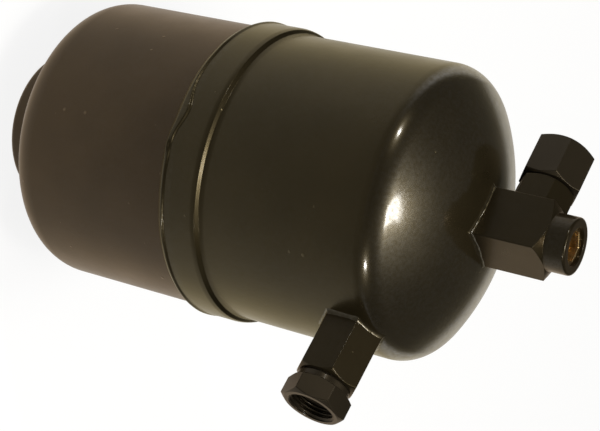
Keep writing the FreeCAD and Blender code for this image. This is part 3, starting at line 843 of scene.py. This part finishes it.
class DRIER_OT_beads(bpy.types.Operator):
    """Builds the girth bead and the foot's weld: arched sections carried round, with ripples, uneven
    edges and the place where the girth weld closes on itself"""
    bl_idname = "drier.beads"
    bl_label = "Weld beads"

    def girth(self, p):
        """The girth bead. At the share t of its height it lies at body radius + (sheet + crest) * lip - crest
        * fall, where lip is 0.66 (1 - exp(-t / 0.02)) and 0.34 of a smooth step, and fall a smooth step from
        reach on. Humps round the weld's stop lift and widen it, and dig the crater."""
        c = p.c
        a = round_columns(BEAD_COLUMNS)
        stop = 1 / (1 + np.exp(-turned_from(a, c.stop_angle) / 0.012))
        overlap = hump(a, c.stop_angle - 0.11, 0.14)
        pit = c.stop_angle + 0.13
        toe = c.skirt - c.bead_below + waver(a, ((3, 0.00008), (7, 0.00006), (17, 0.00004), (41, 0.00002)))
        toe = toe - 0.0005 * stop * hump(a, c.stop_angle + 0.05, 0.4) + 0.0003 * overlap
        brow = c.skirt + c.bead_above + waver(a, ((2, 0.0002), (5, 0.00012), (11, 0.0001), (31, 0.00004)))
        brow = brow + 0.0009 * overlap - 0.0016 * hump(a, c.stop_angle + 0.12, 0.1)
        crest = c.bead_proud + waver(a, ((4, 0.00004), (9, 0.00004), (23, 0.00002))) + 0.00025 * overlap
        crater = hump(a, pit, 0.035)
        round_pit = hump(a, pit, 0.09)
        reach = 0.36 + 0.36 * overlap + 0.26 * round_pit
        crest = crest + 0.0002 * round_pit
        t = 0.5 - 0.5 * np.cos(np.linspace(0, math.pi, 33))[:, None]
        height = toe + t * (brow - toe)
        floor = c.body_radius + np.clip((height - c.skirt) / 0.0006, 0, 1) * c.sheet
        lip = 0.66 * (1 - np.exp(-t / 0.02)) + 0.34 * eased(t / 0.38)
        out = c.body_radius + (c.sheet + crest) * lip - crest * eased((t - reach) / 0.2)
        out = np.maximum(out, floor)
        chevron = a * c.body_radius / c.ripple_pitch + 1.1 * (t - 0.5) ** 2 * 4
        chevron = chevron + waver(a, ((9, 0.3), (14, 0.25), (23, 0.15)))
        uneven = 1 + waver(a, ((6, 0.45), (11, 0.4))) + 2 * overlap
        out = out + c.ripple * uneven * np.cos(TURN * chevron) * np.sin(math.pi * t)
        out = out - 0.0006 * crater * np.sin(math.pi * np.clip(t * 1.7 - 0.6, 0, 1)) ** 2
        face = np.stack([out, np.broadcast_to(height, out.shape)], axis=-1)
        back = corner_rows(a, (p.bell - 0.0006, brow - 0.0006), (c.body_radius - 0.0004, toe + 0.0008))
        bead = wrapped(np.concatenate([face, back]), a, p.upright)
        make_piece("girth_bead", bead, True, weld_paint(), "canister", ["girth_weld"])

    def foot(self, p):
        """The foot's weld: a parabola from the foot's side to the dome, swollen by sin(pi t)."""
        c = p.c
        a = round_columns(FOOT_BEAD_COLUMNS)
        leg = c.foot_fillet + waver(a, ((3, 0.00015), (8, 0.0001), (19, 0.00005)))
        ground = crown_height(p, c.foot_radius, False)
        toe = c.foot_radius + leg
        corner = corner_rows(a, (c.foot_radius + 0.3 * leg, ground - 0.3 * leg))
        start = corner_rows(a, (c.foot_radius, ground - leg))
        end = corner_rows(a, (toe, crown_height(p, toe, False)))
        face = parabola(start, corner, end, 12)
        t = np.linspace(0, 1, 12)[:, None, None]
        ridge = np.cos(TURN * a * c.foot_radius / (1.25 * c.ripple_pitch))[None, :, None]
        swell = np.sin(math.pi * t) * (0.00025 + c.ripple * ridge)
        face = face + swell * np.array([0.7, -0.7])
        under = crown_height(p, toe, False) + 0.0005
        back = corner_rows(a, (toe, under), (c.foot_radius - 0.0005, ground - leg))
        bead = wrapped(np.concatenate([face, back]), a, p.upright)
        make_piece("foot_bead", bead, True, weld_paint(), "canister", ["foot_weld"])

    def execute(self, context):
        p = plan()
        self.girth(p)
        self.foot(p)
        return {"FINISHED"}


class DRIER_OT_foot(bpy.types.Operator):
    """Builds the foot: a small cup's section, with its rounded corner, carried round the axis"""
    bl_idname = "drier.foot"
    bl_label = "Foot"

    def execute(self, context):
        p = plan()
        c = p.c
        columns = round_columns(RING_COLUMNS)
        r = c.foot_radius
        k = c.foot_corner
        start = c.sheet * 0.1
        top = crown_height(p, r, False)
        inner_top = crown_height(p, r - c.sheet, False)
        cup = joined(
            straight((start, 0), (r - k, 0), 6),
            bow((r - k, k), k, -math.pi / 2, 0, 10),
            straight((r, k), (r, top), 6),
            straight((r - c.sheet, inner_top), (r - c.sheet, k), 4),
            bow((r - k, k), k - c.sheet, 0, -math.pi / 2, 4),
            straight((r - k, c.sheet), (start, c.sheet), 3),
        )
        skin = wrapped(cup, columns, p.upright)
        make_piece("foot_skin", skin, False, lower_paint_and_light(), "canister", ["base_foot"])
        return {"FINISHED"}


class DRIER_OT_head_block(bpy.types.Operator):
    """Builds the head block: a rounded square that stands on the dome and is turned to a round boss,
    each column's corners worked out from the square's own radius there"""
    bl_idname = "drier.head_block"
    bl_label = "Head block"

    def execute(self, context):
        p = plan()
        f = p.f
        a = polygon_columns(4, p.block, math.pi / 4, f.edge, on_flat=14, on_corner=9)
        square = polygon(a, 4, p.block, math.pi / 4, f.edge)
        slope = f.turned_drop / (f.square_bar / math.sqrt(2) - f.boss_radius)
        shoulder = p.boss - slope * (square - f.boss_radius)
        start = f.way_radius * 0.05
        seat = p.plug_foot - 0.0003
        corners = corner_rows(
            a,
            (start, p.apex),
            (f.way_radius, crown_height(p, f.way_radius)),
            (square, crown_height(p, square)),
            (square, shoulder),
            (f.boss_radius, p.boss),
            (f.boss_radius, p.top),
            (f.plug_radius, p.top),
            (f.plug_radius, seat),
            (start, seat),
        )
        rounding = (0, 0, 0, 0.0003, 0.0004, 2 * f.boss_rim, 0.0003, 0.0002, 0)
        grid = wrapped(softened(corners, rounding, False, steps=8), a, p.upright)
        make_piece("head_block_body", grid, False, bar_paint(), "canister", ["head_block"])
        return {"FINISHED"}


class DRIER_OT_port_bars(bpy.types.Operator):
    """Builds the head arm and the side bar: rounded hexagons whose end is coned on a lathe, so each
    column's chamfer starts where the hexagon there is as wide as the cone"""
    bl_idname = "drier.port_bars"
    bl_label = "Port bars"

    def bar(self, p, name, hexagon, corner, root, end, lie, replaced):
        """One bar: its side, coned end, tube socket and way, down to the root that it stands on."""
        f = p.f
        a = polygon_columns(6, hexagon / 2, corner, f.edge, on_flat=10)
        out = polygon(a, 6, hexagon / 2, corner, f.edge)
        face = hexagon / 2 - f.hex_inset
        base = root(a, out)
        corners = corner_rows(
            a,
            (out, base),
            (out, end - (out - face) * math.tan(f.chamfer)),
            (face, end),
            (f.tube_radius, end),
            (f.tube_radius, end - f.tube_socket),
            (f.way_radius, end - f.tube_socket),
            (f.way_radius, root(a, f.way_radius)),
        )
        grid = wrapped(softened(corners, (0, 0.0012, 0.001, 0.0002, 0, 0, 0), True), a, lie)
        make_piece(name, grid, True, bar_paint(), "canister", [replaced])

    def execute(self, context):
        p = plan()
        f = p.f

        def on_block(a, out):
            return p.block - 0.0002

        self.bar(p, "head_arm", f.arm_hex, 0, on_block, p.arm_end, p.head, "head_port_body")
        self.bar(p, "side_bar", f.port_hex, math.pi / 2, on_wall(p), p.side_end, p.side, "side_port_body")
        return {"FINISHED"}


class DRIER_OT_braze(bpy.types.Operator):
    """Builds the braze fillets: a hollow parabola between a bar's side and the shell, carried round the
    bar with an uneven leg"""
    bl_idname = "drier.braze"
    bl_label = "Braze fillets"

    def fillet(self, name, a, out, leg, ground, lie, replaced):
        """One fillet, with its back inside the bar."""
        toe = out + leg
        start = corner_rows(a, (toe, ground(a, toe)))
        corner = corner_rows(a, (out + 0.2 * leg, ground(a, out + 0.2 * leg) + 0.2 * leg))
        end = corner_rows(a, (out, ground(a, out) + leg))
        face = parabola(start, corner, end, 9)
        inner = out - 0.0003
        sunk = 0.0004
        base = ground(a, out)
        back = corner_rows(a, (inner, base + leg), (inner, base - sunk), (toe, ground(a, toe) - sunk))
        grid = wrapped(np.concatenate([face, back]), a, lie)
        make_piece(name, grid, True, braze_paint(), "canister", [replaced])

    def execute(self, context):
        p = plan()
        f = p.f

        def on_dome(a, out):
            return crown_height(p, out)

        a = polygon_columns(4, p.block, math.pi / 4, 0.0008, on_flat=30, on_corner=13)
        out = polygon(a, 4, p.block, math.pi / 4, f.edge)
        leg = f.braze + waver(a, ((3, 0.0001), (8, 0.00009), (15, 0.00007), (26, 0.00004)))
        self.fillet("head_braze_fillet", a, out, leg, on_dome, p.upright, "head_braze")
        a = polygon_columns(6, f.port_hex / 2, math.pi / 2, 0.0008, on_flat=22, on_corner=9)
        out = polygon(a, 6, f.port_hex / 2, math.pi / 2, f.edge)
        leg = f.braze + waver(a, ((2, 0.0001), (7, 0.00009), (13, 0.00007), (29, 0.00004)))
        self.fillet("side_braze_fillet", a, out, leg, on_wall(p), p.side, "side_braze")
        return {"FINISHED"}


class DRIER_OT_nuts(bpy.types.Operator):
    """Builds the two swivel nuts: chamfered hexagons with a lip, a 45 degree seat and a cut thread,
    whose radius is a triangle wave of (along / pitch - angle / turn)"""
    bl_idname = "drier.nuts"
    bl_label = "Swivel nuts"

    def nut(self, p, name, start, collar, long, lip, corner, lie, body, replaced):
        """One nut: a collar if it has one, the chamfered hexagon, the thread and the flare's seat."""
        f = p.f
        end = start + long
        flat = f.nut_hex / 2
        a = polygon_columns(6, flat, corner, f.edge, on_flat=14)
        out = polygon(a, 6, flat, corner, f.edge)
        drop = (out - f.nut_face) * math.tan(f.chamfer)
        hole = f.tube_radius + f.run_fit
        seat = start + lip
        seat_end = seat + f.nut_thread - hole
        foot = start + collar
        outer = [(hole, seat), (hole, start)]
        rounding = [0, 0.0002]
        if collar > 0:
            outer += [(f.side_collar_radius, start), (f.side_collar_radius, foot)]
            rounding += [0.0004, 0.0001]
        outer += [(f.nut_face, foot), (out, foot + drop), (out, end - drop)]
        outer += [(f.nut_face, end), (f.nut_mouth, end)]
        rounding += [0.0002, 0.0004, 0.0004, 0.0003, 0]
        profile = softened(corner_rows(a, *outer), rounding, False)
        turns = (end - seat_end) / f.thread_pitch
        along = np.linspace(end, seat_end, int(turns * 12) + 1)[1:, None]
        phase = (along / f.thread_pitch - a[None, :] / TURN) % 1
        tooth = np.clip(1.25 * (1 - np.abs(2 * phase - 1)) - 0.1, 0, 1)
        fade = np.clip((along - seat_end) / f.thread_pitch, 0, 1)
        radius = np.maximum(f.nut_thread + f.thread_depth * tooth * fade, f.nut_mouth - (end - along))
        thread = np.stack([radius, np.broadcast_to(along, radius.shape)], axis=-1)
        grid = wrapped(np.concatenate([profile, thread]), a, lie)
        make_piece(name, grid, True, nut_finish(), body, [replaced])

    def execute(self, context):
        p = plan()
        f = p.f
        self.nut(
            p, "head_nut_hexagon", p.head_nut, 0, f.head_nut_length, f.head_nut_lip,
            f.head_nut_turn, p.head, "head_nut", "head_swivel_nut",
        )
        self.nut(
            p, "side_nut_hexagon", p.side_nut, f.side_collar, f.side_nut_length, f.side_nut_lip,
            math.pi / 2 - f.side_nut_turn, p.side, "side_nut", "side_swivel_nut",
        )
        return {"FINISHED"}


class DRIER_OT_flares(bpy.types.Operator):
    """Builds the two tube ends: a thin wall's section, opened at 45 degrees, carried round the port's axis"""
    bl_idname = "drier.flares"
    bl_label = "Flared tubes"

    def tube(self, p, name, root, neck, lie, replaced):
        """One stub of tube, from its root in the bar to its flare."""
        f = p.f
        a = round_columns(TUBE_COLUMNS)
        half = f.tube_wall / math.sqrt(2)
        tip = f.tube_radius + f.flare_rise
        bore = f.tube_radius - f.tube_wall
        corners = corner_rows(
            a,
            (f.tube_radius, root),
            (f.tube_radius, neck),
            (tip, neck + f.flare_rise),
            (tip - half, neck + f.flare_rise + half),
            (bore, neck + 2 * half - f.tube_wall),
            (bore, root),
        )
        grid = wrapped(softened(corners, (0, 0.0006, 0.0002, 0.0002, 0.0008, 0), True), a, lie)
        steel = bpy.context.scene.drier_finishes.steel
        height = p.head_port if replaced == "head_flare_tube" else p.side_port
        turn = (0, math.pi / 2, 0)
        metal = turned_metal("steel_tube_" + name, steel, 0.3, 0.000004, turn, (0, 0, height), 2500.0)
        make_piece(name, grid, True, metal, "canister", [replaced])

    def execute(self, context):
        p = plan()
        f = p.f
        head_neck = p.head_nut + f.head_nut_lip + f.seat_gap
        side_neck = p.side_nut + f.side_nut_lip + f.seat_gap
        self.tube(p, "head_flare", p.arm_end - f.tube_socket, head_neck, p.head, "head_flare_tube")
        self.tube(p, "side_flare", p.side_end - f.tube_socket, side_neck, p.side, "side_flare_tube")
        return {"FINISHED"}


class DRIER_OT_sight_glass(bpy.types.Operator):
    """Builds the brass plug, with its hexagon socket, and the glass: both are sections carried round the
    axis, the plug's socket with the hexagon's own radius in each column"""
    bl_idname = "drier.sight_glass"
    bl_label = "Sight glass"

    def execute(self, context):
        p = plan()
        f = p.f
        finish = context.scene.drier_finishes
        a = polygon_columns(6, f.plug_key / 2, 0, 0.0002, on_flat=8, on_corner=5)
        key = polygon(a, 6, f.plug_key / 2, 0, 0.0002)
        floor = p.plug_top - f.plug_key_depth
        corners = corner_rows(
            a,
            (f.lens_radius, p.plug_foot),
            (f.plug_radius, p.plug_foot),
            (f.plug_radius, p.plug_top),
            (key + 0.0002, p.plug_top),
            (key, p.plug_top - 0.0002),
            (key, floor),
            (f.window_radius, floor),
            (f.window_radius, p.lens_top),
            (f.lens_radius, p.lens_top),
        )
        grid = wrapped(softened(corners, (0, 0, 0.0005, 0, 0, 0.0002, 0.0002, 0, 0), True), a, p.upright)
        brass = turned_metal("sight_glass_brass", finish.brass, 0.22, 0.000006, scale=3000.0, dull=0.35)
        make_piece("sight_glass_plug", grid, True, brass, "canister", ["sight_glass_body"])
        columns = round_columns(LENS_COLUMNS)
        rim = f.lens_radius - 0.00005
        top = p.lens_top - 0.00002
        rise = 0.0004
        sphere = f.window_radius ** 2 / (2 * rise)
        radii = np.linspace(f.window_radius - 0.0001, 0.0001, 12)
        swell = np.stack([radii, p.lens_top + rise - radii ** 2 / (2 * sphere)], axis=1)
        section = joined(
            straight((0.0001, p.lens_foot), (rim, p.lens_foot), 4),
            straight((rim, p.lens_foot), (rim, top), 2),
            straight((f.lens_radius - 0.0003, top), (f.window_radius, top), 2),
            swell,
        )
        glass = wrapped(section, columns, p.upright)
        clear = sight_glass_material()
        make_piece("sight_glass_window", glass, False, clear, "canister", ["sight_glass_lens"])
        return {"FINISHED"}


class DRIER_OT_inside(bpy.types.Operator):
    """Gives the pieces inside the canister their steel, copper, felt and beads"""
    bl_idname = "drier.inside"
    bl_label = "Inside"

    def execute(self, context):
        finish = context.scene.drier_finishes
        steel = turned_metal("bare_steel", finish.steel, 0.36, 0.000005, scale=900.0)
        brass = turned_metal("retainer_brass", finish.brass, 0.3, 0.000006)
        copper = turned_metal("washer_copper", finish.copper, 0.28, 0.000004)
        felt = soft_filling("filter_felt", finish.felt, 900.0, 0.95, 0.0003, False)
        beads = soft_filling("desiccant_beads", finish.beads, 420.0, 0.85, 0.0009, True)
        finishes = {
            "pickup_tube": steel,
            "pickup_strainer": steel,
            "lower_plate": steel,
            "upper_plate": steel,
            "bed_spring": steel,
            "sight_glass_retainer": brass,
            "sight_glass_washer": copper,
            "lower_felt": felt,
            "upper_felt": felt,
            "desiccant_bed": beads,
        }
        for node, material in finishes.items():
            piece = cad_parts[node]
            piece.data.materials.clear()
            piece.data.materials.append(material)
        return {"FINISHED"}


class DRIER_OT_stage(bpy.types.Operator):
    """Sets up the floor, lamps, surroundings and camera. The floor's glow fades towards the camera, a painted
    shade, and the surroundings look darker that way too and upwards. They glow round the key light as
    exp(-angle / GLOW_SPREAD)"""
    bl_idname = "drier.stage"
    bl_label = "Stage"

    def floor(self):
        """A plane that takes the object's shadow, and also shines for what looks at or mirrors it, with a
        painted shade towards the camera.
        """
        mesh = bpy.data.meshes.new("floor")
        corners = [(FLOOR_SIDE * x, FLOOR_SIDE * y, 0) for x, y in ((-1, -1), (1, -1), (1, 1), (-1, 1))]
        mesh.from_pydata(corners, [], [(0, 1, 2, 3)])
        material = bpy.data.materials.new("pale_floor")
        material.use_nodes = True
        tree = material.node_tree
        tree.nodes.clear()
        diffuse = put(tree, "ShaderNodeBsdfDiffuse", {"Color": (FLOOR_GREY, FLOOR_GREY, FLOOR_GREY, 1)})
        place = put(tree, "ShaderNodeTexCoord").outputs["Object"]
        ahead = towards(tree, place, facing(CAMERA_SIDE, 0))
        # Painted shade: the floor's glow fades from pale near the canister to grey in front of it
        pale = spread(tree, ahead, *FLOOR_PAINTED_SHADE_SPAN, FLOOR_NEAR, FLOOR_FAR)
        strength = calc(tree, "MULTIPLY", seen(tree), pale)
        glow = put(tree, "ShaderNodeEmission", {"Color": (1, 1, 1, 1), "Strength": strength})
        both = put(tree, "ShaderNodeAddShader", {0: diffuse.outputs[0], 1: glow.outputs[0]})
        put(tree, "ShaderNodeOutputMaterial", {"Surface": both.outputs[0]})
        mesh.materials.append(material)
        piece = bpy.data.objects.new("floor", mesh)
        bpy.context.scene.collection.objects.link(piece)

    def stand(self, name, data, right, up, back, place):
        """Stands a lamp or the camera in the scene, by its directions and its place."""
        holder = bpy.data.objects.new(name, data)
        matrix = np.eye(4)
        matrix[:3] = np.stack([right, up, back, place], axis=1)
        holder.matrix_world = Matrix(matrix.tolist())
        bpy.context.scene.collection.objects.link(holder)
        return holder

    def lamp(self, name, azimuth, elevation, distance, size, power):
        """An area lamp that looks at the canister's middle from a direction in degrees."""
        back = np.array(facing(azimuth, elevation))
        right = np.cross([0, 0, 1], back)
        right /= np.linalg.norm(right)
        up = np.cross(back, right)
        light = bpy.data.lights.new(name, "AREA")
        light.shape = "RECTANGLE"
        light.size, light.size_y = size
        light.energy = power
        light.color = LAMP_TINT
        self.stand(name, light, right, up, back, np.array(LAMPS_LOOK_AT) + distance * back)

    def surroundings(self):
        """The world: an even light on the object, walls for what looks at or mirrors them, and the glow."""
        world = bpy.data.worlds.new("surroundings")
        world.use_nodes = True
        tree = world.node_tree
        tree.nodes.clear()
        direction = put(tree, "ShaderNodeTexCoord").outputs["Generated"]
        height = put(tree, "ShaderNodeSeparateXYZ", {"Vector": direction}).outputs["Z"]
        ahead = towards(tree, direction, facing(CAMERA_SIDE, 0))
        low = spread(tree, ahead, *WALL_FADE, WALL_BEHIND, WALL_AHEAD)
        wall = spread(tree, height, 0.0, WALL_END, low, WALL_HIGH)
        paler = calc(tree, "MULTIPLY", seen(tree), calc(tree, "SUBTRACT", wall, ROOM_LEVEL))
        room = calc(tree, "ADD", ROOM_LEVEL, paler)
        apart = calc(tree, "ARCCOSINE", towards(tree, direction, facing(*KEY_LIGHT)))
        glow = calc(tree, "EXPONENT", calc(tree, "MULTIPLY", apart, -1 / GLOW_SPREAD))
        walls = put(tree, "ShaderNodeBackground", {"Color": (1, 1, 1, 1), "Strength": room})
        overhead = calc(tree, "MULTIPLY", glow, GLOW_STRENGTH)
        ceiling = put(tree, "ShaderNodeBackground", {"Color": (*GLOW_TINT, 1), "Strength": overhead})
        both = put(tree, "ShaderNodeAddShader", {0: walls.outputs[0], 1: ceiling.outputs[0]})
        put(tree, "ShaderNodeOutputWorld", {"Surface": both.outputs[0]})
        bpy.context.scene.world = world

    def camera(self):
        """The photograph's camera, rolled so that the canister lies across the frame."""
        data = bpy.data.cameras.new("photo_camera")
        data.sensor_fit = "HORIZONTAL"
        data.sensor_width = CAMERA_SENSOR
        data.lens = CAMERA_LENS
        data.clip_start = 0.01
        holder = self.stand("photo_camera", data, CAMERA_RIGHT, CAMERA_UP, CAMERA_BACK, CAMERA_PLACE)
        bpy.context.scene.camera = holder

    def execute(self, context):
        context.scene.view_settings.view_transform = "Standard"
        self.floor()
        self.surroundings()
        for name, values in LAMPS.items():
            self.lamp(name, *values)
        self.camera()
        return {"FINISHED"}


class DRIER_PT_panel(bpy.types.Panel):
    """Sizes, finishes and the buttons that build each piece"""
    bl_idname = "DRIER_PT_panel"
    bl_label = "Receiver Drier"
    bl_space_type = "VIEW_3D"
    bl_region_type = "UI"
    bl_category = "Drier"

    def draw(self, context):
        for operator in OPERATORS:
            self.layout.operator(operator.bl_idname)
        scene = context.scene
        for group in (scene.drier_canister, scene.drier_fittings, scene.drier_finishes):
            box = self.layout.box()
            for name in group.__annotations__:
                box.prop(group, name)


OPERATORS = (
    DRIER_OT_shells,
    DRIER_OT_beads,
    DRIER_OT_foot,
    DRIER_OT_head_block,
    DRIER_OT_port_bars,
    DRIER_OT_braze,
    DRIER_OT_nuts,
    DRIER_OT_flares,
    DRIER_OT_sight_glass,
    DRIER_OT_inside,
    DRIER_OT_stage,
)
CLASSES = (DrierCanister, DrierFittings, DrierFinishes) + OPERATORS + (DRIER_PT_panel,)


def register():
    """Registers the classes, and gives the scene its property groups."""
    for item in CLASSES:
        bpy.utils.register_class(item)
    bpy.types.Scene.drier_canister = bpy.props.PointerProperty(type=DrierCanister)
    bpy.types.Scene.drier_fittings = bpy.props.PointerProperty(type=DrierFittings)
    bpy.types.Scene.drier_finishes = bpy.props.PointerProperty(type=DrierFinishes)


def unregister():
    """Takes the property groups and classes out again."""
    del bpy.types.Scene.drier_finishes
    del bpy.types.Scene.drier_fittings
    del bpy.types.Scene.drier_canister
    for item in reversed(CLASSES):
        bpy.utils.unregister_class(item)


def main():
    register()
    bpy.ops.drier.shells()
    bpy.ops.drier.beads()
    bpy.ops.drier.foot()
    bpy.ops.drier.head_block()
    bpy.ops.drier.port_bars()
    bpy.ops.drier.braze()
    bpy.ops.drier.nuts()
    bpy.ops.drier.flares()
    bpy.ops.drier.sight_glass()
    bpy.ops.drier.inside()
    bpy.ops.drier.stage()


if __name__ == "__main__":
    main()
